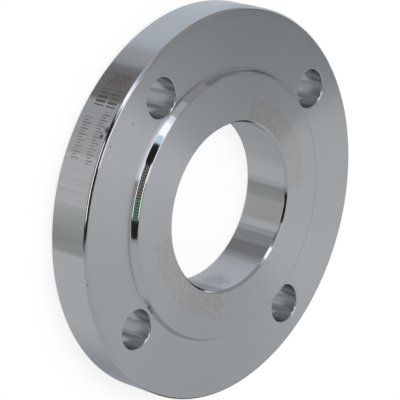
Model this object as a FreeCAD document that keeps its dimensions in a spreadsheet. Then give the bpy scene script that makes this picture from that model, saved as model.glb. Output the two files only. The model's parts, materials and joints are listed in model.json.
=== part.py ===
# Slip-on pipe flange with a raised face, turned and drilled in one piece.
# Millimetres. The flange lies on its back face: the origin is the middle of that
# face and +Z is the axis of the bore, pointing out of the raised face.
import FreeCAD, Part
import math
import os
import Sketcher

NODE = "flange"

# Driving dimensions, one row each: name, value, what it is on the flange.
SIZES = [
    ("flange_diameter", 180.0, "outside of the rim"),
    ("plate_thickness", 20.8, "back face to the ring face round the raised face"),
    ("raised_face_diameter", 122.0, "sharp edge of the raised sealing face"),
    ("raised_face_height", 3.2, "raised face above the ring face"),
    ("shoulder_taper", 25.0, "degrees that the raised face's wall leans off the axis"),
    ("root_fillet", 0.8, "radius where that wall meets the ring face"),
    ("face_edge_break", 0.4, "edge of the raised face taken off"),
    ("pipe_diameter", 76.1, "outside of the pipe that slips into the bore"),
    ("pipe_clearance", 1.4, "bore larger than the pipe, on the diameter"),
    ("bore_front_chamfer", 1.0, "mouth of the bore in the raised face"),
    ("bore_back_chamfer", 0.6, "mouth of the bore in the back face"),
    ("rim_chamfer", 1.0, "both edges of the rim"),
    ("bolt_edge_distance", 17.5, "rim to the circle through the middles of the bolt holes"),
    ("bolt_hole_diameter", 18.0, "clearance hole for an M16 bolt"),
    ("bolt_hole_chamfer", 0.4, "both mouths of a bolt hole"),
    ("bolt_hole_count", 4, "holes, evenly spaced, the first half a pitch round from +X"),
]

# Radii and heights that follow from them, for the section of the turned blank.
ZERO = "0"
AXIS = ZERO
BACK = ZERO
RIM = "Sizes.flange_diameter / 2"
RING = "Sizes.plate_thickness"
FACE = "Sizes.plate_thickness + Sizes.raised_face_height"
FACE_EDGE = "Sizes.raised_face_diameter / 2"
SHOULDER_ROOT = f"{FACE_EDGE} + Sizes.raised_face_height * tan(Sizes.shoulder_taper)"
BORE = "(Sizes.pipe_diameter + Sizes.pipe_clearance) / 2"

# Radius of the circle that the bolt holes stand on.
BOLT_CIRCLE = f"({RIM} - Sizes.bolt_edge_distance)"

# The same for a bolt hole, measured from the hole's own axis.
HOLE = "Sizes.bolt_hole_diameter / 2"
HOLE_MOUTH = f"{HOLE} + Sizes.bolt_hole_chamfer"
BELOW_BACK = f"-({HOLE})"
ABOVE_FACE = f"{FACE} + {HOLE}"
HALF_PITCH = "180 / Sizes.bolt_hole_count"

FULL_TURN = 360.0
SAME_PLACE = 1.0e-6
MM3_IN_CM3 = 1000.0

doc = FreeCAD.newDocument("SlipOnFlange")


def make_sheet():
    """The table of sizes that every section and feature is bound to."""
    table = doc.addObject("Spreadsheet::Sheet", "Sizes")
    for row, (name, value, meaning) in enumerate(SIZES, start=1):
        table.set(f"A{row}", name)
        table.set(f"B{row}", str(value))
        table.set(f"C{row}", meaning)
        table.setAlias(f"B{row}", name)
    doc.recompute()
    return table


sheet = make_sheet()


def value_of(expression):
    """What an expression of the sizes comes to, in millimetres."""
    return float(sheet.evalExpression(expression))


def origin_part(body, role):
    """One of the body's own origin planes or axes."""
    return next(part for part in body.Origin.OriginFeatures if part.Role == role)


def hold_corner(sketch, corner, kind, level, axis, expression, expression_before):
    """One coordinate of a corner: shared with the corner before, on an axis, or a dimension."""
    if expression == expression_before:
        sketch.addConstraint(Sketcher.Constraint(level, corner - 1))
    elif expression == ZERO:
        sketch.addConstraint(Sketcher.Constraint("PointOnObject", corner, 1, axis))
    else:
        size = Sketcher.Constraint(kind, -1, 1, corner, 1, value_of(expression))
        sketch.setExpression(f"Constraints[{sketch.addConstraint(size)}]", expression)


def draw_section(body, name, corners):
    """A closed half section on the body's XZ plane, through corners of (radius, height)."""
    sketch = body.newObject("Sketcher::SketchObject", name)
    sketch.AttachmentSupport = [(origin_part(body, "XZ_Plane"), "")]
    sketch.MapMode = "FlatFace"
    places = [FreeCAD.Vector(value_of(radius), value_of(height), 0) for radius, height in corners]
    for start, end in zip(places, places[1:] + places[:1]):
        sketch.addGeometry(Part.LineSegment(start, end), False)
    for side in range(len(corners)):
        next_side = (side + 1) % len(corners)
        sketch.addConstraint(Sketcher.Constraint("Coincident", side, 2, next_side, 1))
    horizontal_axis, vertical_axis = -1, -2
    radius_before, height_before = None, None
    for corner, (radius, height) in enumerate(corners):
        hold_corner(sketch, corner, "DistanceX", "Vertical", vertical_axis, radius, radius_before)
        hold_corner(sketch, corner, "DistanceY", "Horizontal", horizontal_axis, height, height_before)
        radius_before, height_before = radius, height
    return sketch


def turn(body, kind, name, section):
    """Revolve the section about its upright axis, as a solid or as a cut."""
    feature = body.newObject(f"PartDesign::{kind}", name)
    feature.Profile = section
    feature.ReferenceAxis = (section, ["V_Axis"])
    feature.Angle = FULL_TURN
    doc.recompute()
    return feature


def circular_edges(feature, radius, height):
    """Names of the feature's edges that run round the axis at this radius and height."""
    found = []
    for number, edge in enumerate(feature.Shape.Edges, start=1):
        if not isinstance(edge.Curve, Part.Circle):
            continue
        centre = edge.Curve.Center
        misses = (math.hypot(centre.x, centre.y), centre.z - height, edge.Curve.Radius - radius)
        if max(abs(miss) for miss in misses) < SAME_PLACE:
            found.append(f"Edge{number}")
    if not found:
        raise RuntimeError(f"{feature.Label} has no round edge of radius {radius} at height {height}")
    return found


def dress(base, kind, name, size_property, size, edges):
    """A chamfer or a fillet on the round edges given as (radius, height)."""
    feature = base.getParent().newObject(f"PartDesign::{kind}", name)
    names = [edge for radius, height in edges
             for edge in circular_edges(base, value_of(radius), value_of(height))]
    feature.Base = (base, names)
    feature.setExpression(size_property, f"Sizes.{size}")
    doc.recompute()
    return feature


def chamfer(base, name, size, *edges):
    """Break the edges at 45 degrees."""
    return dress(base, "Chamfer", name, "Size", size, edges)


def turned_blank(body):
    """Plate and raised face with sharp edges, then every edge that the lathe breaks or rounds."""
    section = draw_section(body, "Section", [
        (BORE, BACK), (RIM, BACK), (RIM, RING), (SHOULDER_ROOT, RING), (FACE_EDGE, FACE), (BORE, FACE)])
    blank = turn(body, "Revolution", "Blank", section)
    blank = chamfer(blank, "RimChamfers", "rim_chamfer", (RIM, BACK), (RIM, RING))
    blank = chamfer(blank, "BoreFrontChamfer", "bore_front_chamfer", (BORE, FACE))
    blank = chamfer(blank, "BoreBackChamfer", "bore_back_chamfer", (BORE, BACK))
    blank = dress(blank, "Fillet", "RootFillet", "Radius", "root_fillet", [(SHOULDER_ROOT, RING)])
    return chamfer(blank, "FaceEdgeBreak", "face_edge_break", (FACE_EDGE, FACE))


def drilled_holes(body, blank):
    """One bolt hole, drilled and countersunk from both faces, then repeated round the circle."""
    low_cone = "Sizes.bolt_hole_chamfer"
    high_cone = f"{RING} - Sizes.bolt_hole_chamfer"
    section = draw_section(body, "DrillSection", [
        (AXIS, BELOW_BACK), (HOLE_MOUTH, BELOW_BACK), (HOLE_MOUTH, BACK), (HOLE, low_cone),
        (HOLE, high_cone), (HOLE_MOUTH, RING), (HOLE_MOUTH, ABOVE_FACE), (AXIS, ABOVE_FACE)])
    section.setExpression("AttachmentOffset.Base.x", f"{BOLT_CIRCLE} * cos({HALF_PITCH})")
    section.setExpression("AttachmentOffset.Base.z", f"-{BOLT_CIRCLE} * sin({HALF_PITCH})")
    drilled = turn(body, "Groove", "BoltHole", section)
    if drilled.Shape.Volume >= blank.Shape.Volume:
        raise RuntimeError("the bolt hole takes nothing away")

    circle = body.newObject("PartDesign::PolarPattern", "BoltCircle")
    circle.Originals = [drilled]
    circle.Axis = (origin_part(body, "Z_Axis"), [""])
    circle.Angle = FULL_TURN
    circle.setExpression("Occurrences", "Sizes.bolt_hole_count")
    body.Tip = circle
    doc.recompute()


def check_document():
    """Nothing in the document may have failed while it was worked out."""
    for thing in doc.Objects:
        if {"Invalid", "Error"} & set(thing.State):
            raise RuntimeError(f"{thing.Label} failed: {thing.State}")


def write_part(body):
    """One whole, valid solid, in a file that has the body's name."""
    shape = body.Shape
    if shape.isNull() or not shape.isValid() or len(shape.Solids) != 1:
        raise RuntimeError(f"{body.Label} is not one valid solid")
    os.makedirs("parts", exist_ok=True)
    shape.exportStep(f"parts/{body.Label}.step")
    box = shape.BoundBox
    print(f"{body.Label}: {box.XLength:.2f} x {box.YLength:.2f} x {box.ZLength:.2f} mm, "
          f"{shape.Volume / MM3_IN_CM3:.2f} cm3, {len(shape.Faces)} faces")


flange = doc.addObject("PartDesign::Body", NODE)
flange.Label = NODE
drilled_holes(flange, turned_blank(flange))
check_document()
write_part(flange)
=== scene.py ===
# %% [markdown]
# # A slip-on pipe flange in turned steel
# The object is one ring of stainless steel that a lathe has faced, bored and chamfered all over,
# and a drill has pierced four times. Nothing on it is painted, so all of its looks come from the
# direction of the tool marks and from what the metal mirrors. This lesson turns the ring again as
# a fine mesh, gives every cut its own finish, and stands cards round it for the steel to reflect.

import json
import math

import bmesh
import bpy
from mathutils import Matrix, Vector


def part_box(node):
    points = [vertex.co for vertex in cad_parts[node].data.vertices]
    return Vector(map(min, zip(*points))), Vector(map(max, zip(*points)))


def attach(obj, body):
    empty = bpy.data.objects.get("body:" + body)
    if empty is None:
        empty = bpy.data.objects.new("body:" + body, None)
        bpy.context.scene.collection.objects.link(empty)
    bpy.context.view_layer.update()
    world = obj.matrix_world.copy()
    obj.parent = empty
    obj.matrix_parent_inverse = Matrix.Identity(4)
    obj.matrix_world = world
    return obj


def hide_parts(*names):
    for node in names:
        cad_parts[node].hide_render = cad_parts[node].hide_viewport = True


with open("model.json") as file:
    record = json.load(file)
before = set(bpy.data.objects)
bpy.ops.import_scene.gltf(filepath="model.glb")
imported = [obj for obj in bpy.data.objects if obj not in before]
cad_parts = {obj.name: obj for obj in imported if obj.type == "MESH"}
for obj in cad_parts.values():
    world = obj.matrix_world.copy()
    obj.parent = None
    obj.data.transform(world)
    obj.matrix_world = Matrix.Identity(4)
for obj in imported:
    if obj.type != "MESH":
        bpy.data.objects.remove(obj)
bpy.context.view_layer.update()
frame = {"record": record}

# %% [markdown]
# ## Sizes
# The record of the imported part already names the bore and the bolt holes, and its box gives the
# rim and the height. Reading those four instead of typing them keeps the mesh on the solid. The
# small cuts that no mount mentions, such as the chamfers, are written here once, in metres.

# %% Sizes of the flange
MM = 0.001
NODE = "flange"

mounts = {mount["name"]: mount for mount in frame["record"]["mounts"]}
_, top_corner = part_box(NODE)
inside = 0.001 * MM
rim_radius = top_corner.x - inside
face_height = top_corner.z
bore_radius = mounts["bore"]["dims"]["r_mm"] * MM
hole_radius = mounts["bolt_holes"]["dims"]["hole_r_mm"] * MM
hole_circle = mounts["bolt_holes"]["dims"]["pcd_mm"] / 2 * MM
hole_count = mounts["bolt_holes"]["dims"]["count"]

raised_face_height = 3.2 * MM
raised_face_radius = 61.0 * MM
shoulder_taper = math.radians(25.0)
root_fillet = 0.8 * MM
rim_chamfer = 1.0 * MM
bore_front_chamfer = 1.0 * MM
bore_back_chamfer = 0.6 * MM
hole_chamfer = 0.4 * MM
ring_height = face_height - raised_face_height
print(f"rim {rim_radius / MM:.2f}, bore {bore_radius / MM:.2f}, ring face at {ring_height / MM:.2f} mm")

# %% [markdown]
# ## The camera
# The flange lies on its back here, while the photographer stood it on edge. The camera makes up
# for that: it looks down on the flange from the same side of its axis and is rolled, so that the
# direction that was upright on the table runs up the picture. Three vectors say this more plainly
# than three turns would: where the camera stands, what it looks at, and which way is up.

# %% Camera at the photograph's viewing angle
VIEW_AZIMUTH = math.radians(165.391)
VIEW_ELEVATION = math.radians(39.073)
UPRIGHT_AZIMUTH = math.radians(99.454)
VIEW_TARGET = Vector((-1.452, -0.307, 6.478)) * MM
VIEW_DISTANCE = 1.0
LENS_MM = 199.028
SENSOR_MM = 36.0


def heading(azimuth, elevation=0.0):
    """Unit vector towards a compass direction and a height above the horizon."""
    level = math.cos(elevation)
    return Vector((level * math.cos(azimuth), level * math.sin(azimuth), math.sin(elevation)))


def make_camera():
    """A long lens, as for a product picture, with its axis through the middle of the frame."""
    lens = bpy.data.cameras.new("product_camera")
    lens.sensor_width = SENSOR_MM
    lens.lens = LENS_MM
    camera = bpy.data.objects.new("product_camera", lens)
    bpy.context.scene.collection.objects.link(camera)
    back = heading(VIEW_AZIMUTH, VIEW_ELEVATION)
    right = heading(UPRIGHT_AZIMUTH).cross(back).normalized()
    up = back.cross(right)
    stand = VIEW_TARGET + back * VIEW_DISTANCE
    axes = Matrix((right, up, back)).transposed().to_4x4()
    camera.matrix_world = Matrix.Translation(stand) @ axes
    return camera


bpy.context.scene.camera = make_camera()
bpy.context.scene.view_settings.view_transform = "Standard"
print("camera at", tuple(round(value, 4) for value in bpy.context.scene.camera.location))

# %% [markdown]
# ## Drawing a section
# A lathe makes a solid of revolution, so the mesh starts as a flat half section: a chain of
# vertices in the XZ plane. Real corners are never quite sharp, and the thin bright line along each
# of them is what tells the eye that this is metal. A vertex bevel rounds the chain's corners while
# it is still flat, which is far easier than bevelling the finished ring. Each rounded corner gets a
# holding point on both sides, so that smooth shading doesn't bend the long flat walls.

# %% Helpers for sections and meshes
HOLD = 2.0
ROUND_STEPS = 3


def chain_places(corners):
    """Corner places of (radius, height, rounding), with holding points beside rounded ones."""
    places = [(Vector((radius, 0.0, height)), rounding) for radius, height, rounding in corners]
    chain = []
    for (start, start_round), (end, end_round) in zip(places, places[1:]):
        along = (end - start).normalized()
        chain.append((start, start_round))
        if start_round:
            chain.append((start + along * start_round * HOLD, 0.0))
        if end_round:
            chain.append((end - along * end_round * HOLD, 0.0))
    return chain + [places[-1]]


def draw_section(bm, corners):
    """The chain as vertices and edges, with its corners rounded."""
    chain = [(bm.verts.new(place), rounding) for place, rounding in chain_places(corners)]
    for (start, _), (end, _) in zip(chain, chain[1:]):
        bm.edges.new((start, end))
    for vert, rounding in chain:
        if rounding:
            bmesh.ops.bevel(bm, geom=[vert], offset=rounding, segments=ROUND_STEPS, profile=0.5,
                            affect="VERTICES", material=-1)


def spin_full(bm, geometry, centre, steps):
    """Everything in geometry carried once round an upright axis and joined to itself."""
    bmesh.ops.spin(bm, geom=geometry, cent=centre, axis=(0.0, 0.0, 1.0), dvec=(0.0, 0.0, 0.0),
                   angle=2.0 * math.pi, steps=steps, use_merge=True)


def object_from(bm, name):
    """A new object in the scene, with what was drawn as its mesh."""
    mesh = bpy.data.meshes.new(name)
    bm.to_mesh(mesh)
    bm.free()
    made = bpy.data.objects.new(name, mesh)
    bpy.context.scene.collection.objects.link(made)
    return made


print("facets in a rounded corner:", ROUND_STEPS)

# %% [markdown]
# ## The turned ring
# Two chains are enough. The outer one runs over the rim and both of its chamfers. The inner one
# climbs from the ring face over the shoulder, crosses the raised sealing face and goes down the
# bore. The shoulder leans in by 25 degrees and meets the ring face in a small fillet: that fillet
# is a true arc, so it is one vertex spun about the fillet's own centre.

# %% Outer and inner sections, spun
RING_STEPS = 360
FILLET_STEPS = 8
SAME_PLACE = 1.0e-6
edge_round = 0.2 * MM
soft_round = 0.3 * MM
face_edge_round = 0.4 * MM
fine_round = 0.1 * MM
landing = 0.8 * MM

turn_of_fillet = math.pi / 2 - shoulder_taper
shoulder_root = raised_face_radius + raised_face_height * math.tan(shoulder_taper)
fillet_end = shoulder_root + root_fillet * math.tan(turn_of_fillet / 2)
fillet_centre = Vector((fillet_end, 0.0, ring_height + root_fillet))
wall_start = fillet_centre - root_fillet * Vector((math.cos(shoulder_taper), 0.0, math.sin(shoulder_taper)))

ring = bmesh.new()
draw_section(ring, [
    (rim_radius - rim_chamfer - landing, 0.0, 0.0),
    (rim_radius - rim_chamfer, 0.0, edge_round),
    (rim_radius, rim_chamfer, edge_round),
    (rim_radius, ring_height - rim_chamfer, soft_round),
    (rim_radius - rim_chamfer, ring_height, soft_round),
    (rim_radius - rim_chamfer - landing, ring_height, 0.0),
])
draw_section(ring, [
    (wall_start.x, wall_start.z, 0.0),
    (raised_face_radius, face_height, face_edge_round),
    (bore_radius + bore_front_chamfer, face_height, fine_round),
    (bore_radius, face_height - bore_front_chamfer, fine_round),
    (bore_radius, bore_back_chamfer, fine_round),
    (bore_radius + bore_back_chamfer, 0.0, fine_round),
    (bore_radius + bore_back_chamfer + landing, 0.0, 0.0),
])
fillet_start = ring.verts.new((fillet_end, 0.0, ring_height))
bmesh.ops.spin(ring, geom=[fillet_start], cent=fillet_centre, axis=(0.0, 1.0, 0.0),
               dvec=(0.0, 0.0, 0.0), angle=turn_of_fillet, steps=FILLET_STEPS)
bmesh.ops.remove_doubles(ring, verts=ring.verts[:], dist=SAME_PLACE)
print("section:", len(ring.verts), "vertices")
spin_full(ring, ring.verts[:] + ring.edges[:], (0.0, 0.0, 0.0), RING_STEPS)
print("ring walls:", len(ring.faces), "faces")

# %% [markdown]
# ## The bolt holes
# Each hole is a small turned form of its own: a wall with a countersink at both mouths, spun about
# the hole's axis. A boolean cut would leave ragged triangles round the mouths. Spun walls keep
# clean rings, and the flat faces are filled between them afterwards.

# %% Four drilled and countersunk holes
HOLE_STEPS = 96
hole_mouth = hole_radius + hole_chamfer
first_hole = 0.5
hole_axes = [heading(2.0 * math.pi * (number + first_hole) / hole_count) * hole_circle
             for number in range(hole_count)]


def add_hole(bm, axis):
    """The wall and both countersinks of one hole."""
    before = set(bm.verts)
    draw_section(bm, [
        (axis.length + hole_mouth, 0.0, 0.0),
        (axis.length + hole_radius, hole_chamfer, fine_round),
        (axis.length + hole_radius, ring_height - hole_chamfer, fine_round),
        (axis.length + hole_mouth, ring_height, 0.0),
    ])
    section = [vert for vert in bm.verts if vert not in before]
    edges = {edge for vert in section for edge in vert.link_edges}
    spin_full(bm, section + list(edges), (axis.length, 0.0, 0.0), HOLE_STEPS)
    hole = [vert for vert in bm.verts if vert not in before]
    turn = Matrix.Rotation(math.atan2(axis.y, axis.x), 3, "Z")
    bmesh.ops.rotate(bm, verts=hole, cent=(0.0, 0.0, 0.0), matrix=turn)
    return hole


for hole_axis in hole_axes:
    print("hole:", len(add_hole(ring, hole_axis)), "vertices")

# %% [markdown]
# ## The flat faces
# The ring face and the back are planes with round openings in them. Triangle fill takes every open
# loop that lies in the plane and closes the metal between them. Its long thin triangles don't
# matter, because a plane has one normal everywhere.

# %% Ring face and back face
CM3_IN_M3 = 1.0e6


def fill_plane(bm, height):
    """Triangles between all the open loops at this height."""
    loops = [edge for edge in bm.edges if edge.is_boundary
             and all(abs(vert.co.z - height) < SAME_PLACE for vert in edge.verts)]
    filled = bmesh.ops.triangle_fill(bm, edges=loops, use_beauty=True, use_dissolve=False)
    return [part for part in filled["geom"] if isinstance(part, bmesh.types.BMFace)]


print("ring face:", len(fill_plane(ring, ring_height)), "triangles")
print("back face:", len(fill_plane(ring, 0.0)), "triangles")
bmesh.ops.remove_doubles(ring, verts=ring.verts[:], dist=SAME_PLACE)
bmesh.ops.recalc_face_normals(ring, faces=ring.faces[:])
open_edges = sum(not edge.is_manifold for edge in ring.edges)
print(f"volume {ring.calc_volume(signed=True) * CM3_IN_M3:.2f} cm3, open edges {open_edges}")

# %% [markdown]
# ## Which cut made which face
# The lathe leaves another finish on every surface: fine rings on the faces, bands on the rim, a
# mirror on the shoulder. Each finish is a material slot, and a face finds its slot from where it
# lies and how it leans. That rule still works if a size changes, and a list of face numbers
# wouldn't.

# %% A finish for every face
FINISHES = ["ring_face", "raised_face", "back_face", "rim", "shoulder", "bore", "hole_wall", "cut_edge"]
LEVEL = 0.9999
LEANING = 0.35


def finish_of(face):
    """Name of the finish that the tool left on this face."""
    place = face.calc_center_median()
    radius = math.hypot(place.x, place.y)
    lean = abs(face.normal.z)
    in_hole = min((place.xy - axis.xy).length for axis in hole_axes) < hole_mouth
    if in_hole:
        return "hole_wall" if lean < LEANING else "cut_edge"
    if lean > LEVEL:
        if place.z < ring_height / 2:
            return "back_face"
        return "raised_face" if radius < raised_face_radius else "ring_face"
    if radius > rim_radius - rim_chamfer:
        return "rim" if lean < LEANING else "cut_edge"
    if radius > (raised_face_radius + bore_radius) / 2:
        return "shoulder"
    return "bore" if lean < LEANING else "cut_edge"


for face in ring.faces:
    face.material_index = FINISHES.index(finish_of(face))
    face.smooth = abs(face.normal.z) < LEVEL

flange = object_from(ring, "turned_flange")
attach(flange, "root")
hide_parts(NODE)
flange.data.calc_loop_triangles()
print("turned_flange:", len(flange.data.loop_triangles), "triangles")

# %% [markdown]
# ## Building node trees
# Every finish is a small graph of nodes. One helper makes a node, sets its options and joins or
# sets its inputs, so that the graphs below read like sentences. A second makes a group with named
# sockets, for the effects that several finishes share.

# %% Helpers for nodes and groups


def bare_tree(owner):
    """The emptied node tree of a new material or world."""
    owner.use_nodes = True
    owner.node_tree.nodes.clear()
    return owner.node_tree


def put(tree, kind, inputs=None, **settings):
    """A node with its settings, each input linked to a socket or set to a value."""
    made = tree.nodes.new(kind)
    for name, value in settings.items():
        setattr(made, name, value)
    for key, value in (inputs or {}).items():
        if isinstance(value, bpy.types.NodeSocket):
            tree.links.new(value, made.inputs[key])
        else:
            made.inputs[key].default_value = value
    return made


def maths(tree, operation, *values):
    """The result of a Math node."""
    return put(tree, "ShaderNodeMath", dict(enumerate(values)), operation=operation).outputs[0]


def ramp(tree, value, start, end, low=0.0, high=1.0, kind="SMOOTHSTEP"):
    """A value carried from start..end to low..high, held at both ends."""
    inputs = {"Value": value, "From Min": start, "From Max": end, "To Min": low, "To Max": high}
    return put(tree, "ShaderNodeMapRange", inputs, interpolation_type=kind).outputs["Result"]


def blend_colours(tree, factor, first, second):
    """First where factor is 0, second where it is 1."""
    return put(tree, "ShaderNodeMix", {0: factor, 6: first, 7: second}, data_type="RGBA").outputs[2]


def blend_values(tree, factor, first, second):
    """The same for plain values."""
    return put(tree, "ShaderNodeMix", {0: factor, 2: first, 3: second}, data_type="FLOAT").outputs[0]


def new_group(name, inputs, outputs):
    """A shader node group with named sockets, and its two end nodes."""
    group = bpy.data.node_groups.new(name, "ShaderNodeTree")
    for title, kind, value in inputs:
        group.interface.new_socket(name=title, in_out="INPUT", socket_type=kind).default_value = value
    for title, kind in outputs:
        group.interface.new_socket(name=title, in_out="OUTPUT", socket_type=kind)
    return group, group.nodes.new("NodeGroupInput").outputs, group.nodes.new("NodeGroupOutput").inputs


def noise_in(tree, position, scale, detail=2.0):
    """Noise in space, from 0 to 1."""
    inputs = {"Vector": position, "Scale": scale, "Detail": detail}
    return put(tree, "ShaderNodeTexNoise", inputs).outputs["Fac"]


def noise_along(tree, distance, scale, detail=2.0):
    """Noise along a distance, from 0 to 1."""
    inputs = {"W": distance, "Scale": scale, "Detail": detail}
    return put(tree, "ShaderNodeTexNoise", inputs, noise_dimensions="1D").outputs["Fac"]


def scaled(tree, vector, share):
    """A vector or a colour times a share."""
    return put(tree, "ShaderNodeVectorMath", {0: vector, "Scale": share}, operation="SCALE").outputs[0]


NUMBER, COLOUR, VECTOR = "NodeSocketFloat", "NodeSocketColor", "NodeSocketVector"
POSITION_INPUT = ("Position", VECTOR, (0.0, 0.0, 0.0))
# Noise seldom leaves this range, so the ramps of it start and end here.
NOISE_LOW, NOISE_HIGH = 0.3, 0.7
print("sockets:", NUMBER, COLOUR, VECTOR)

# %% [markdown]
# ## Tool marks
# A lathe tool leaves a fine groove that winds round the work like the track of a record. Across
# the grooves the metal is rough, along them it is smooth. One-dimensional noise along the distance
# across the grooves makes lines that are closed rings and never quite even. The same group serves
# the flat faces, where that distance is the radius, and the walls, where it is the height.

# %% Group: turned lines
FINE_SCALE, BROAD_SCALE = 1.0, 0.09


def make_turned_lines():
    """Rings of lighter and darker metal across a distance."""
    group, given, result = new_group("turned_lines", [
        ("Across", NUMBER, 0.0), ("Pitch", NUMBER, 0.4 * MM)], [("Lines", NUMBER), ("Bands", NUMBER)])
    grooves = maths(group, "DIVIDE", given["Across"], given["Pitch"])
    group.links.new(noise_along(group, grooves, FINE_SCALE), result["Lines"])
    group.links.new(noise_along(group, grooves, BROAD_SCALE), result["Bands"])
    return group


turned_lines = make_turned_lines()
print("group:", turned_lines.name)

# %% [markdown]
# ## Handling marks
# Even a new flange has been carried, wiped and stacked. Soft clouds of slightly duller metal break
# up the perfect rings. Plain 3-D noise in the object's own coordinates is enough, because nobody
# reads a pattern in it.

# %% Group: handling marks
CLOUD_SCALE, CLOUD_START, CLOUD_FULL = 30.0, 0.42, 0.68
CLOUD_DETAIL, CLOUD_ROUGHNESS, CLOUD_DISTORTION = 4.0, 0.55, 0.4
GRAIN_SCALE = 1300.0


def make_handling_marks():
    """Soft patches, 1 where the metal has been touched, and a fine grain all over."""
    group, given, result = new_group("handling_marks", [
        POSITION_INPUT, ("Scale", NUMBER, CLOUD_SCALE)], [("Mask", NUMBER), ("Grain", NUMBER)])
    cloud = put(group, "ShaderNodeTexNoise", {
        "Vector": given["Position"], "Scale": given["Scale"], "Detail": CLOUD_DETAIL,
        "Roughness": CLOUD_ROUGHNESS, "Distortion": CLOUD_DISTORTION})
    group.links.new(ramp(group, cloud.outputs["Fac"], CLOUD_START, CLOUD_FULL), result["Mask"])
    group.links.new(noise_in(group, given["Position"], GRAIN_SCALE), result["Grain"])
    return group


handling_marks = make_handling_marks()
print("group:", handling_marks.name)

# %% [markdown]
# ## A finish
# Bare steel is one Principled shader with Metallic at 1. Its roughness is stretched across the
# grooves by the anisotropy, and the tangent says which way that is. The object's own position
# vector does the job: laid onto a flat face it points along the radius, and laid onto a wall of the
# lathe it runs up the wall, so it always crosses the grooves. Only a bolt hole needs the plain
# upright direction instead, because it was turned about another axis.

# %% Steel finishes
steel_tone = Vector((0.560, 0.575, 0.590))
BAND_SHARE = 0.5
GRAIN_SHARE = 0.55
UNEVEN = 0.06
GROOVE_DEPTH = 0.02 * MM


def grey(colour, share=1.0):
    """A colour with its alpha, made lighter or darker by a share."""
    return tuple(min(1.0, channel * share) for channel in colour) + (1.0,)


def steel(name, across, roughness, anisotropy, pitch, contrast, depth, lightness=1.0):
    """A turned steel material and its shader node."""
    material = bpy.data.materials.new(name)
    tree = bare_tree(material)
    position = put(tree, "ShaderNodeTexCoord").outputs["Object"]
    upright = put(tree, "ShaderNodeMapping", {"Vector": position, "Scale": (0.0, 0.0, 1.0)}).outputs[0]
    level = put(tree, "ShaderNodeMapping", {"Vector": position, "Scale": (1.0, 1.0, 0.0)}).outputs[0]
    distance = put(tree, "ShaderNodeVectorMath", {0: level if across == "radius" else upright},
                   operation="LENGTH").outputs["Value"]
    grooves = {"Across": distance, "Pitch": pitch}
    lines = put(tree, "ShaderNodeGroup", grooves, node_tree=turned_lines).outputs
    marks = put(tree, "ShaderNodeGroup", {"Position": position}, node_tree=handling_marks).outputs
    rings = blend_values(tree, BAND_SHARE, lines["Lines"], lines["Bands"])
    pattern = blend_values(tree, GRAIN_SHARE, rings, marks["Grain"])
    colour = blend_colours(tree, pattern, grey(steel_tone, lightness * (1.0 - contrast)),
                           grey(steel_tone, lightness * (1.0 + contrast)))
    uneven = ramp(tree, lines["Bands"], NOISE_LOW, NOISE_HIGH,
                  (1.0 - UNEVEN) * roughness, (1.0 + UNEVEN) * roughness)
    touched = maths(tree, "MULTIPLY_ADD", marks["Mask"], UNEVEN * roughness, uneven)
    bump = put(tree, "ShaderNodeBump", {"Height": lines["Lines"], "Strength": depth,
                                        "Distance": GROOVE_DEPTH}).outputs["Normal"]
    shader = put(tree, "ShaderNodeBsdfPrincipled", {
        "Base Color": colour, "Metallic": 1.0, "Roughness": touched, "Anisotropic": anisotropy,
        "Normal": bump, "Tangent": upright if across == "upright" else position})
    put(tree, "ShaderNodeOutputMaterial", {"Surface": shader.outputs[0]})
    return material, shader


# Each row: name, way across the grooves, roughness, anisotropy, pitch, contrast, strength of the
# bump, and a share of the steel's lightness where it isn't 1.
finishes = {
    "ring_face": steel("ring_face_steel", "radius", 0.15, 1.0, 0.35 * MM, 0.085, 0.02),
    "raised_face": steel("raised_face_steel", "radius", 0.155, 1.0, 0.30 * MM, 0.055, 0.02),
    "back_face": steel("back_face_steel", "radius", 0.24, 1.0, 0.45 * MM, 0.040, 0.05),
    "rim": steel("rim_steel", "height", 0.09, 1.0, 0.30 * MM, 0.050, 0.01),
    "shoulder": steel("shoulder_mirror", "height", 0.06, 0.5, 0.20 * MM, 0.010, 0.0),
    "bore": steel("bore_steel", "height", 0.10, 1.0, 0.30 * MM, 0.028, 0.02),
    "hole_wall": steel("hole_steel", "upright", 0.13, 1.0, 0.25 * MM, 0.030, 0.03, 0.88),
    "cut_edge": steel("chamfer_steel", "height", 0.08, 0.5, 0.20 * MM, 0.010, 0.0),
}
for finish in FINISHES:
    flange.data.materials.append(finishes[finish][0])
print("finishes:", ", ".join(FINISHES))

# %% [markdown]
# ## Masks for marks
# A mark is a mask and what it does to the steel under it. The masks are worked out in the flange's
# own measures: the arc round the axis, the radius and the height, all in millimetres. Soft boxes
# and stripes of those are enough for anything that was etched with a plain tool.

# %% Helpers for masks in millimetres
SOFT_MM = 0.12


def box_mask(tree, value, start, end, soft=SOFT_MM):
    """1 between start and end, with a soft border."""
    rise = ramp(tree, value, start - soft, start + soft)
    return maths(tree, "SUBTRACT", rise, ramp(tree, value, end - soft, end + soft))


def stripes(tree, value, pitch, width):
    """1 on lines of this width, one to a pitch."""
    wave = maths(tree, "PINGPONG", value, pitch / 2)
    return ramp(tree, wave, (width + SOFT_MM) / 2, (width - SOFT_MM) / 2)


def all_of(tree, *masks):
    """Where every mask is 1."""
    product = masks[0]
    for mask in masks[1:]:
        product = maths(tree, "MULTIPLY", product, mask)
    return product


def any_of(tree, *masks):
    """Where one mask at least is 1."""
    most = masks[0]
    for mask in masks[1:]:
        most = maths(tree, "MAXIMUM", most, mask)
    return most


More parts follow.
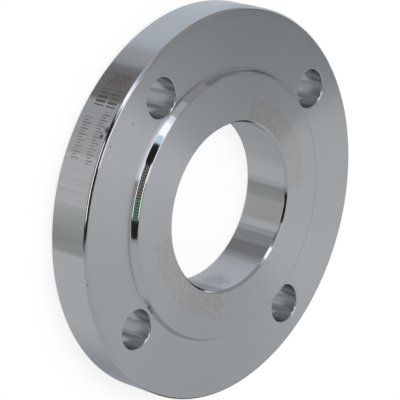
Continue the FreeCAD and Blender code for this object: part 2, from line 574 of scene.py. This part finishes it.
def turned_measures(tree, position, radius):
    """Arc at the given radius from +X, distance from the axis, and height, in millimetres."""
    x, y, z = put(tree, "ShaderNodeSeparateXYZ", {0: scaled(tree, position, 1.0 / MM)}).outputs
    angle = maths(tree, "ARCTAN2", y, x)
    full = maths(tree, "FLOORED_MODULO", angle, 2.0 * math.pi)
    flat = put(tree, "ShaderNodeCombineXYZ", {"X": x, "Y": y}).outputs[0]
    off_axis = put(tree, "ShaderNodeVectorMath", {0: flat}, operation="LENGTH").outputs["Value"]
    return maths(tree, "MULTIPLY", full, radius / MM), off_axis, z


def arc_mm(degrees, radius):
    """Length of an arc from +X, in millimetres."""
    return math.radians(degrees) * radius / MM


print("one degree of the rim is", round(arc_mm(1.0, rim_radius), 2), "mm")

# %% [markdown]
# ## Etched marks on the rim
# A patch of hatching, some bars and two rows of ticks are burnt into the rim in brown. All of them
# are stripes cut off by boxes, measured along the rim in millimetres, so each is a few plain sums.

# %% Group: rim scale
HATCH_SPAN, HATCH_HEIGHTS = (137.6, 142.2), (5.6, 17.4)
HATCH_PITCH, HATCH_LINE = 1.9, 1.0
BAR_SPAN, BAR_HEIGHTS = (143.0, 148.4), [(12.4, 17.4), (5.4, 10.8)]
BAR_PITCH, BAR_WIDTH = 2.1, 1.15
# Each row: its angles, the heights of its long ticks, the heights of all its ticks.
TICK_ROWS = [
    ((149.8, 165.0), (13.0, 17.0), (13.0, 15.4)),
    ((152.2, 164.0), (4.4, 8.8), (4.4, 7.0)),
]
LONG_TICK_PITCH, LONG_TICK_WIDTH = 2.6, 0.45
TICK_PITCH, TICK_WIDTH = 1.3, 0.4
TICK_TONE = 0.62
WORN_SCALE, WORN_DETAIL = 900.0, 1.0
WORN_START, WORN_END, WORN_LEAST = 0.25, 0.55, 0.6


def make_rim_scale():
    """Hatching, bars and ticks on the rim, 1 on the etched lines."""
    group, given, result = new_group("rim_scale", [POSITION_INPUT], [("Mask", NUMBER)])
    arc, _, height = turned_measures(group, given["Position"], rim_radius)

    def patch(angles, heights):
        """Between two angles and two heights on the rim."""
        start, end = (arc_mm(angle, rim_radius) for angle in angles)
        return all_of(group, box_mask(group, arc, start, end), box_mask(group, height, *heights))

    slanted = maths(group, "ADD", arc, height)
    hatch = all_of(group, patch(HATCH_SPAN, HATCH_HEIGHTS), stripes(group, slanted, HATCH_PITCH, HATCH_LINE))
    bars = all_of(group, any_of(group, *[patch(BAR_SPAN, heights) for heights in BAR_HEIGHTS]),
                  stripes(group, arc, BAR_PITCH, BAR_WIDTH))
    long_ticks = stripes(group, arc, LONG_TICK_PITCH, LONG_TICK_WIDTH)
    all_ticks = stripes(group, arc, TICK_PITCH, TICK_WIDTH)
    rows = []
    for angles, long_heights, heights in TICK_ROWS:
        rows.append(all_of(group, long_ticks, patch(angles, long_heights)))
        rows.append(all_of(group, all_ticks, patch(angles, heights)))
    ticks = maths(group, "MULTIPLY", any_of(group, *rows), TICK_TONE)
    worn = ramp(group, noise_in(group, given["Position"], WORN_SCALE, WORN_DETAIL),
                WORN_START, WORN_END, WORN_LEAST, 1.0)
    group.links.new(maths(group, "MULTIPLY", any_of(group, hatch, bars, ticks), worn), result["Mask"])
    return group


rim_scale = make_rim_scale()
print("group:", rim_scale.name)

# %% [markdown]
# ## Etched net on the raised face
# Two fields beside the bore carry a pale tan net of fine lines, so faint that they only show where
# the light lies flat. The field itself is a little warmer than the steel, and the lines are a shade
# darker. Two families of waving lines that cross make the net.

# %% Group: etched net
NET_FIELDS = [(8.0, 84.0), (194.0, 272.0)]
NET_INNER, NET_OUTER = 39.0, 50.5
NET_PITCH = 4.6
NET_LINE, NET_SWAY = 0.5, 1.1
NET_SOFT = 0.6
RAGGED_SCALE, RAGGED_MM = 260.0, 1.4


def make_etched_net():
    """The tinted field beside the bore and the lines in it."""
    group, given, result = new_group("etched_net", [POSITION_INPUT], [("Field", NUMBER), ("Lines", NUMBER)])
    middle = (NET_INNER + NET_OUTER) / 2 * MM
    arc, off_axis, _ = turned_measures(group, given["Position"], middle)
    ragged = noise_in(group, given["Position"], RAGGED_SCALE)
    shift = ramp(group, ragged, NOISE_LOW, NOISE_HIGH, -RAGGED_MM, RAGGED_MM)
    off_edge = maths(group, "ADD", off_axis, shift)
    arc_edge = maths(group, "ADD", arc, shift)
    fields = [box_mask(group, arc_edge, arc_mm(start, middle), arc_mm(end, middle), NET_SOFT)
              for start, end in NET_FIELDS]
    field = all_of(group, any_of(group, *fields), box_mask(group, off_edge, NET_INNER, NET_OUTER, NET_SOFT))
    wave = maths(group, "SINE", maths(group, "MULTIPLY", off_axis, 2.0 * math.pi / NET_PITCH))
    swayed = maths(group, "ADD", arc_edge, maths(group, "MULTIPLY", wave, NET_SWAY))
    rising = stripes(group, maths(group, "ADD", swayed, off_edge), NET_PITCH, NET_LINE)
    falling = stripes(group, maths(group, "SUBTRACT", arc_edge, off_axis), NET_PITCH, NET_LINE)
    group.links.new(field, result["Field"])
    group.links.new(all_of(group, field, any_of(group, rising, falling)), result["Lines"])
    return group


etched_net = make_etched_net()
print("group:", etched_net.name)

# %% [markdown]
# ## Stains, nicks and a painted reflection
# A dark smear sits on the rim beside its chamfer, and small nicks and specks lie here and there. One
# group makes a ragged spot at a place, and a short list says where each spot lies, how wide it is
# and which finish it sits on. The wide spot in the bore is no mark but painted reflection: a darker,
# bluish patch that stands for the bluish light the bore mirrors there.

# %% Group: ragged spot
SPOT_SCALE = 1600.0
SPOT_UNEVEN = 0.45
SPOT_CORE = 0.6


def make_ragged_spot():
    """1 round a centre, out to an uneven radius."""
    group, given, result = new_group("ragged_spot", [
        POSITION_INPUT, ("Centre", VECTOR, (0.0, 0.0, 0.0)), ("Radius", NUMBER, MM)], [("Mask", NUMBER)])
    grain = noise_in(group, given["Position"], SPOT_SCALE)
    distance = put(group, "ShaderNodeVectorMath", {0: given["Position"], 1: given["Centre"]},
                   operation="DISTANCE").outputs["Value"]
    share = maths(group, "DIVIDE", distance, given["Radius"])
    frayed = ramp(group, grain, NOISE_LOW, NOISE_HIGH, -SPOT_UNEVEN, SPOT_UNEVEN, "LINEAR")
    group.links.new(ramp(group, maths(group, "ADD", share, frayed), 1.0, SPOT_CORE), result["Mask"])
    return group


ragged_spot = make_ragged_spot()
print("group:", ragged_spot.name)

# %% [markdown]
# ## A painted shade line along the edge of the raised face
# On one side, the rounded edge of the raised face mirrors something dark and shows as a thin dark
# line just inside it. The mesh's rounding is too small to make that line, so it is painted shade: a
# darker, duller ring in the colour. On that side the wall behind the edge is hidden, and this line
# alone shows where the raised face ends. The mask covers that side and fades towards the other.

# %% Group: painted shade line on the edge
EDGE_SHADE_START, EDGE_SHADE_FULL = 60.0, 60.4
EDGE_SHADE_ARCS = [(-60.0, 74.0), (303.0, 420.0)]
EDGE_SHADE_FADE = 22.0


def make_painted_edge_shade():
    """1 on the outermost part of the raised face, along the side where painted shade marks the edge."""
    group, given, result = new_group("painted_edge_shade", [POSITION_INPUT], [("Mask", NUMBER)])
    arc, off_axis, _ = turned_measures(group, given["Position"], raised_face_radius)
    sides = []
    for angles in EDGE_SHADE_ARCS:
        start, end = (arc_mm(angle, raised_face_radius) for angle in angles)
        sides.append(box_mask(group, arc, start, end, EDGE_SHADE_FADE))
    line = ramp(group, off_axis, EDGE_SHADE_START, EDGE_SHADE_FULL)
    group.links.new(all_of(group, any_of(group, *sides), line), result["Mask"])
    return group


painted_edge_shade = make_painted_edge_shade()
print("group:", painted_edge_shade.name)

# %% Marks laid over the finishes
ETCHED_BROWN = (0.150, 0.092, 0.062)
FIELD_TAN = (0.540, 0.525, 0.490)
LINE_TAN = (0.425, 0.405, 0.380)
EDGE_SHADE_GREY = (0.470, 0.480, 0.490)
GRIME = (0.05, 0.05, 0.06)
PAINTED_BLUISH_REFLECTION = (0.40, 0.40, 0.43)
# Each row: finish, distance from the axis, angle, height, radius of the spot (mm), colour, roughness.
SPOTS = [
    ("rim", 90.0, 154.6, 18.9, 1.6, GRIME, 0.4),
    ("rim", 90.0, 156.6, 17.2, 1.0, GRIME, 0.4),
    ("ring_face", 86.4, 158.4, 20.8, 0.5, GRIME, 0.4),
    ("ring_face", 79.0, 149.0, 20.8, 0.4, GRIME, 0.4),
    ("shoulder", 62.3, 219.4, 21.2, 0.25, GRIME, 0.3),
    ("shoulder", 62.1, 223.8, 21.6, 0.2, GRIME, 0.3),
    ("shoulder", 62.3, 137.2, 21.2, 0.25, GRIME, 0.3),
    ("cut_edge", 89.5, 198.0, 20.2, 0.35, GRIME, 0.3),
    # Painted reflection, not a scratch: a darker, bluish patch for the bluish light that the bore mirrors
    # here.
    ("bore", 38.75, -78.0, 12.0, 8.0, PAINTED_BLUISH_REFLECTION, 0.2),
]


def add_mark(finish, group):
    """A mark's group in a finish, fed with the object's own coordinates."""
    tree = finishes[finish][0].node_tree
    node = put(tree, "ShaderNodeGroup", node_tree=group)
    tree.links.new(put(tree, "ShaderNodeTexCoord").outputs["Object"], node.inputs["Position"])
    return node


def lay_over(finish, mask, strength, colour, roughness):
    """Another colour and roughness on a finish, as strongly as a mask and a strength say."""
    material, shader = finishes[finish]
    tree = material.node_tree
    share = maths(tree, "MULTIPLY", mask, strength)
    changes = (("Base Color", colour + (1.0,), blend_colours), ("Roughness", roughness, blend_values))
    for title, value, blend in changes:
        under = shader.inputs[title].links[0].from_socket
        tree.links.new(blend(tree, share, under, value), shader.inputs[title])


# Each row: finish, group, which of its masks, strength, colour, roughness.
MARKS = [
    ("rim", rim_scale, "Mask", 0.85, ETCHED_BROWN, 0.45),
    ("raised_face", etched_net, "Field", 0.38, FIELD_TAN, 0.16),
    ("raised_face", etched_net, "Lines", 0.42, LINE_TAN, 0.17),
    # The edge mark is painted shade: a darker ring for the dark that the rounded edge mirrors on one side.
    ("raised_face", painted_edge_shade, "Mask", 0.7, EDGE_SHADE_GREY, 0.2),
]
SPOT_STRENGTH = 0.7

for finish, group, mask, strength, colour, roughness in MARKS:
    lay_over(finish, add_mark(finish, group).outputs[mask], strength, colour, roughness)
for finish, from_axis, angle, height, radius, colour, roughness in SPOTS:
    spot = add_mark(finish, ragged_spot)
    centre = heading(math.radians(angle)) * from_axis + Vector((0.0, 0.0, height))
    spot.inputs["Centre"].default_value = centre * MM
    spot.inputs["Radius"].default_value = radius * MM
    lay_over(finish, spot.outputs["Mask"], SPOT_STRENGTH, colour, roughness)
print("marks:", len(MARKS), "masks and", len(SPOTS), "spots")

# %% [markdown]
# ## The floor
# The picture has a plain white ground. A white that only the lamps could make would need more
# light than the steel can take, so the floor gives off most of its own white towards the camera,
# and the lamps add the rest. That rest is what the object's shadow takes away. A tenth of a
# millimetre of air keeps the floor and the back of the flange from sharing a plane.

# %% A pale floor that keeps a soft shadow
FLOOR_SIZE = 6.0
FLOOR_GAP = 0.1 * MM
FLOOR_REFLECTS = 0.25
FLOOR_GIVES = 0.785


def plainly_seen(tree):
    """1 for rays from the camera and for mirrored and refracted ones, 0 for the rest."""
    rays = put(tree, "ShaderNodeLightPath").outputs
    mirrored = maths(tree, "MAXIMUM", rays["Is Glossy Ray"], rays["Is Transmission Ray"])
    return maths(tree, "MAXIMUM", rays["Is Camera Ray"], mirrored)


def make_floor():
    """A large square just under the flange."""
    bm = bmesh.new()
    under = Matrix.Translation((0.0, 0.0, -FLOOR_GAP))
    bmesh.ops.create_grid(bm, x_segments=1, y_segments=1, size=FLOOR_SIZE / 2, matrix=under)
    floor = object_from(bm, "floor")
    material = bpy.data.materials.new("pale_floor")
    tree = bare_tree(material)
    strength = maths(tree, "MULTIPLY", plainly_seen(tree), FLOOR_GIVES)
    glow = put(tree, "ShaderNodeEmission", {"Strength": strength})
    matt = put(tree, "ShaderNodeBsdfDiffuse", {"Color": grey((FLOOR_REFLECTS,) * 3)})
    both = put(tree, "ShaderNodeAddShader", {0: glow.outputs[0], 1: matt.outputs[0]})
    put(tree, "ShaderNodeOutputMaterial", {"Surface": both.outputs[0]})
    floor.data.materials.append(material)
    floor.visible_glossy = False
    return floor


print("floor:", make_floor().name)

# %% [markdown]
# ## The cards
# Polished metal has no looks of its own: it shows the room. The real flange mirrored a pale table,
# a window, dark gaps and a few warm things between them. All of it stands on one huge sphere that
# only reflections can see. Each card is a soft-edged field given by compass direction and height,
# laid over the ones before it, so the whole room is a short list that can be read and moved about.

# %% Group: one card


def make_card():
    """A colour laid over what is behind it, inside a soft-edged field of directions, in degrees."""
    group, given, result = new_group("card", [
        ("Behind", COLOUR, (0.0, 0.0, 0.0, 1.0)), ("Colour", COLOUR, (1.0, 1.0, 1.0, 1.0)),
        ("Azimuth", NUMBER, 0.0), ("Elevation", NUMBER, 0.0), ("Middle", NUMBER, 0.0),
        ("Half Width", NUMBER, 10.0), ("Side Softness", NUMBER, 2.0), ("Lean", NUMBER, 0.0),
        ("Lowest", NUMBER, -10.0), ("Highest", NUMBER, 10.0), ("Top Softness", NUMBER, 2.0)],
        [("Colour", COLOUR)])

    def beyond(value, edge, softness):
        """0 before the edge and 1 past it."""
        half = maths(group, "MULTIPLY", softness, 0.5)
        return ramp(group, value, maths(group, "SUBTRACT", edge, half), maths(group, "ADD", edge, half))

    climb = maths(group, "SUBTRACT", given["Elevation"], given["Lowest"])
    leaned = maths(group, "MULTIPLY_ADD", climb, given["Lean"], given["Azimuth"])
    off = maths(group, "WRAP", maths(group, "SUBTRACT", leaned, given["Middle"]), 180.0, -180.0)
    outside = beyond(maths(group, "ABSOLUTE", off), given["Half Width"], given["Side Softness"])
    above = beyond(given["Elevation"], given["Lowest"], given["Top Softness"])
    over = beyond(given["Elevation"], given["Highest"], given["Top Softness"])
    at_height = maths(group, "SUBTRACT", above, over)
    inside = maths(group, "MULTIPLY", at_height, maths(group, "SUBTRACT", 1.0, outside))
    group.links.new(blend_colours(group, inside, given["Behind"], given["Colour"]), result["Colour"])
    return group


card_group = make_card()
print("group:", card_group.name)

# %% The room that the steel mirrors
ROUND_A, ROUND_B = -200.0, 200.0
GROUND, SKY = -100.0, 100.0
# The rim mirrors what lies below NEAR, the bore what lies between NEAR and SPLIT, and the other
# faces what lies above SPLIT.
NEAR, SPLIT = -38.85, -24.0
LOW_SOFT = 0.6
PANEL_TOP = 22.0
# Each row: what it is, azimuths with their softness, elevations with theirs, degrees of azimuth
# that the card's sides lean for each degree above its foot, colour.
CARDS = [
    ("far low room", (ROUND_A, ROUND_B, 6.0), (GROUND, NEAR, LOW_SOFT), 0.0, (0.61, 0.615, 0.62)),
    ("far dusk", (201.0, 227.0, 34.0), (GROUND, NEAR, LOW_SOFT), 0.0, (0.35, 0.355, 0.35)),
    ("far table", (-142.3, -30.0, 1.0), (GROUND, NEAR, LOW_SOFT), 0.0, (0.63, 0.64, 0.65)),
    ("far table end", (-75.0, -13.0, 50.0), (GROUND, NEAR, LOW_SOFT), 0.0, (0.32, 0.34, 0.37)),
    ("far sky light", (-8.0, 92.0, 14.0), (GROUND, NEAR, LOW_SOFT), 0.0, (0.645, 0.695, 0.75)),
    ("far sky end", (84.0, 106.0, 16.0), (GROUND, NEAR, LOW_SOFT), 0.0, (0.45, 0.46, 0.47)),
    ("far shade", (100.0, 126.0, 5.0), (GROUND, NEAR, LOW_SOFT), 0.0, (0.21, 0.21, 0.215)),
    ("far dull post", (126.5, 159.5, 5.0), (GROUND, NEAR, LOW_SOFT), 0.0, (0.52, 0.525, 0.53)),
    ("far board", (160.0, 190.0, 5.0), (GROUND, NEAR, LOW_SOFT), 0.0, (0.68, 0.685, 0.69)),
    ("near low room", (ROUND_A, ROUND_B, 6.0), (NEAR, SPLIT, LOW_SOFT), 0.0, (0.60, 0.62, 0.65)),
    ("near table", (-151.5, -40.0, 1.0), (NEAR, SPLIT, LOW_SOFT), 0.0, (0.60, 0.61, 0.62)),
    ("near table end", (-118.0, 0.0, 20.0), (NEAR, SPLIT, LOW_SOFT), 0.0, (0.465, 0.475, 0.485)),
    ("near corner", (-42.0, 24.0, 30.0), (NEAR, SPLIT, LOW_SOFT), 0.0, (0.355, 0.365, 0.38)),
    ("near dark corner", (0.0, 24.0, 14.0), (NEAR, SPLIT, LOW_SOFT), 0.0, (0.24, 0.25, 0.265)),
    ("near wall end", (98.0, 110.0, 8.0), (NEAR, SPLIT, LOW_SOFT), 0.0, (0.42, 0.43, 0.44)),
    ("near shade", (108.0, 143.5, 6.0), (NEAR, SPLIT, LOW_SOFT), 0.0, (0.275, 0.28, 0.285)),
    ("near wall", (121.0, 143.5, 5.0), (NEAR, SPLIT, LOW_SOFT), 0.0, (0.27, 0.28, 0.285)),
    ("near mid tone", (142.5, 150.0, 2.0), (NEAR, SPLIT, LOW_SOFT), 0.0, (0.44, 0.45, 0.46)),
    ("near bright post", (149.5, 159.5, 2.0), (NEAR, SPLIT, LOW_SOFT), 0.0, (0.66, 0.67, 0.68)),
    ("near board", (160.0, 190.0, 3.0), (NEAR, SPLIT, LOW_SOFT), 0.0, (0.415, 0.41, 0.41)),
    ("near dusk", (189.0, 208.5, 2.0), (NEAR, SPLIT, LOW_SOFT), 0.0, (0.345, 0.35, 0.345)),
    ("room", (ROUND_A, ROUND_B, 6.0), (SPLIT, SKY, 4.0), 0.0, (0.37, 0.375, 0.38)),
    ("light wall", (-2.0, 46.0, 24.0), (SPLIT, 7.0, 8.0), 0.0, (0.82, 0.84, 0.86)),
    ("dark post", (64.0, 74.0, 4.0), (-20.0, 2.0, 3.0), 0.0, (0.10, 0.105, 0.11)),
    ("table", (-153.9, -5.0, 9.0), (SPLIT, SKY, 4.0), -0.135, (0.55, 0.56, 0.57)),
    ("dark screen", (-22.0, 30.0, 8.0), (10.0, 62.0, 6.0), 0.0, (0.205, 0.212, 0.224)),
    ("top of the screen", (-22.0, 30.0, 8.0), (43.0, 62.0, 4.0), 0.0, (0.30, 0.305, 0.315)),
    ("table below the screen", (-60.0, 9.3, 0.6), (14.0, 38.0, 2.0), 0.9, (0.61, 0.62, 0.63)),
    ("table beside the screen", (-60.0, -10.9, 0.6), (34.5, 45.5, 1.0), 0.0, (0.61, 0.62, 0.63)),
    ("table above the screen", (-60.0, -11.3, 0.6), (43.0, 64.0, 2.0), -0.43, (0.70, 0.71, 0.72)),
    ("dull table", (-140.0, -18.6, 3.0), (18.0, 64.0, 6.0), 0.0, (0.515, 0.525, 0.535)),
    ("low corner", (-68.0, -6.0, 24.0), (-30.0, 3.0, 6.0), 0.0, (0.175, 0.18, 0.185)),
    ("pale wall", (97.0, 111.0, 2.0), (SPLIT, 56.0, 2.0), 0.0, (0.56, 0.57, 0.58)),
    ("window edge", (111.2, 118.0, 2.0), (1.0, 44.0, 2.0), 0.0, (1.15, 1.20, 1.30)),
    ("window", (117.0, 129.0, 2.0), (1.0, 44.0, 2.0), 0.0, (1.63, 1.63, 1.68)),
    ("window side", (128.5, 135.0, 1.5), (1.0, 44.0, 2.0), 0.0, (0.80, 0.98, 1.13)),
    ("dark curtain", (135.5, 208.0, 3.0), (SPLIT, 56.0, 3.0), 0.0, (0.025, 0.025, 0.025)),
    ("wooden panel", (152.5, 177.0, 2.0), (SPLIT, PANEL_TOP, 2.0), 0.0, (0.19, 0.175, 0.16)),
    ("green panel", (176.0, 194.5, 3.0), (SPLIT, PANEL_TOP, 2.0), 0.0, (0.135, 0.215, 0.17)),
    ("strip lamp", (150.0, 194.0, 3.0), (20.0, 38.0, 1.5), 0.0, (3.0, 2.95, 2.9)),
    ("window head", (106.0, 124.0, 2.0), (43.0, 58.0, 1.5), 0.0, (1.63, 1.63, 1.68)),
    ("grey head", (136.0, 163.0, 3.0), (50.5, 58.0, 1.0), 0.0, (0.40, 0.40, 0.41)),
    ("dark ceiling", (165.0, 215.0, 4.0), (56.0, SKY, 3.0), 0.0, (0.06, 0.06, 0.06)),
    ("overhead light", (-13.0, 165.0, 1.0), (66.0, SKY, 2.0), 0.0, (1.57, 1.54, 1.62)),
]
BEHIND_ALL = (0.5, 0.5, 0.5, 1.0)
ROOM_RADIUS = 20.0
ROOM_COLUMNS, ROOM_ROWS = 64, 32
RIB_PITCH = 2.2
RIB_DEPTH = 0.75
PANEL_AZIMUTHS = (152.5, 194.5)
PANEL_SOFT = 1.0
STREAK_DEPTH = 0.07
STREAK_SCALE, STREAK_DETAIL = 0.45, 3.0
STREAK_FADE = 4.0


def room_colours(tree):
    """The cards laid one over another, by direction from the flange."""
    position = put(tree, "ShaderNodeTexCoord").outputs["Object"]
    direction = put(tree, "ShaderNodeVectorMath", {0: position}, operation="NORMALIZE").outputs[0]
    x, y, z = put(tree, "ShaderNodeSeparateXYZ", {0: direction}).outputs
    azimuth = maths(tree, "DEGREES", maths(tree, "ARCTAN2", y, x))
    elevation = maths(tree, "DEGREES", maths(tree, "ARCSINE", z))
    colour = BEHIND_ALL
    for name, (start, end, side), (lowest, highest, top), lean, tone in CARDS:
        values = {"Behind": colour, "Colour": tone + (1.0,), "Azimuth": azimuth, "Elevation": elevation,
                  "Middle": (start + end) / 2, "Half Width": (end - start) / 2, "Side Softness": side,
                  "Lean": lean, "Lowest": lowest, "Highest": highest, "Top Softness": top}
        card = put(tree, "ShaderNodeGroup", values, node_tree=card_group, label=name)
        colour = card.outputs["Colour"]
    return ribbed(tree, colour, azimuth, elevation)


def ribbed(tree, colour, azimuth, elevation):
    """Fine upright ribs on the panels and faint streaks in the low part of the room."""
    all_round = maths(tree, "FLOORED_MODULO", azimuth, 360.0)
    panels = all_of(tree, box_mask(tree, all_round, *PANEL_AZIMUTHS, PANEL_SOFT),
                    box_mask(tree, elevation, SPLIT, PANEL_TOP, PANEL_SOFT))
    wave = maths(tree, "SINE", maths(tree, "MULTIPLY", azimuth, 2.0 * math.pi / RIB_PITCH))
    ribs = maths(tree, "MULTIPLY", maths(tree, "MULTIPLY", wave, RIB_DEPTH), panels)
    low = ramp(tree, elevation, SPLIT, SPLIT - STREAK_FADE)
    uneven = ramp(tree, noise_along(tree, azimuth, STREAK_SCALE, STREAK_DETAIL), NOISE_LOW, NOISE_HIGH,
                  -STREAK_DEPTH, STREAK_DEPTH)
    streaks = maths(tree, "MULTIPLY", uneven, low)
    share = maths(tree, "ADD", maths(tree, "ADD", ribs, streaks), 1.0)
    return scaled(tree, colour, share)


def make_room():
    """A sphere round everything, seen in reflections alone."""
    bm = bmesh.new()
    bmesh.ops.create_uvsphere(bm, u_segments=ROOM_COLUMNS, v_segments=ROOM_ROWS, radius=ROOM_RADIUS)
    room = object_from(bm, "mirrored_room")
    material = bpy.data.materials.new("room_cards")
    tree = bare_tree(material)
    glow = put(tree, "ShaderNodeEmission", {"Color": room_colours(tree), "Strength": 1.0})
    put(tree, "ShaderNodeOutputMaterial", {"Surface": glow.outputs[0]})
    room.data.materials.append(material)
    for rays in ("camera", "diffuse", "transmission", "volume_scatter", "shadow"):
        setattr(room, f"visible_{rays}", False)
    return room


print("room:", make_room().name, "with", len(CARDS), "cards")

# %% [markdown]
# ## Light
# One broad lamp overhead gives the soft shadow, and an even white sky fills the rest. Together
# they light a matt surface to about the colour that is written for it. The steel doesn't mirror
# the lamp, because the cards already hold everything that it should show.

# %% Lamp and sky
LAMP_HEIGHT = 1.2
LAMP_SIZE = 0.8
LAMP_ASIDE = 0.3
LAMP_WATTS = 6.4
SKY_LEVEL = 0.55


def make_lamp():
    """A soft box above the flange, a little to the side that was up in the picture."""
    light = bpy.data.lights.new("soft_box", "AREA")
    light.shape = "SQUARE"
    light.size = LAMP_SIZE
    light.energy = LAMP_WATTS
    lamp = bpy.data.objects.new("soft_box", light)
    bpy.context.scene.collection.objects.link(lamp)
    lamp.location = heading(UPRIGHT_AZIMUTH) * LAMP_ASIDE + Vector((0.0, 0.0, LAMP_HEIGHT))
    lamp.rotation_euler = (-lamp.location).to_track_quat("-Z", "Y").to_euler()
    lamp.visible_glossy = False
    return lamp


def make_sky():
    """White where the camera or the metal sees it, and a plain level of light elsewhere."""
    world = bpy.data.worlds.new("even_sky")
    tree = bare_tree(world)
    strength = blend_values(tree, plainly_seen(tree), SKY_LEVEL, 1.0)
    sky = put(tree, "ShaderNodeBackground", {"Color": grey((1.0, 1.0, 1.0)), "Strength": strength})
    put(tree, "ShaderNodeOutputWorld", {"Surface": sky.outputs[0]})
    bpy.context.scene.world = world
    return world


print("light:", make_lamp().name, make_sky().name)
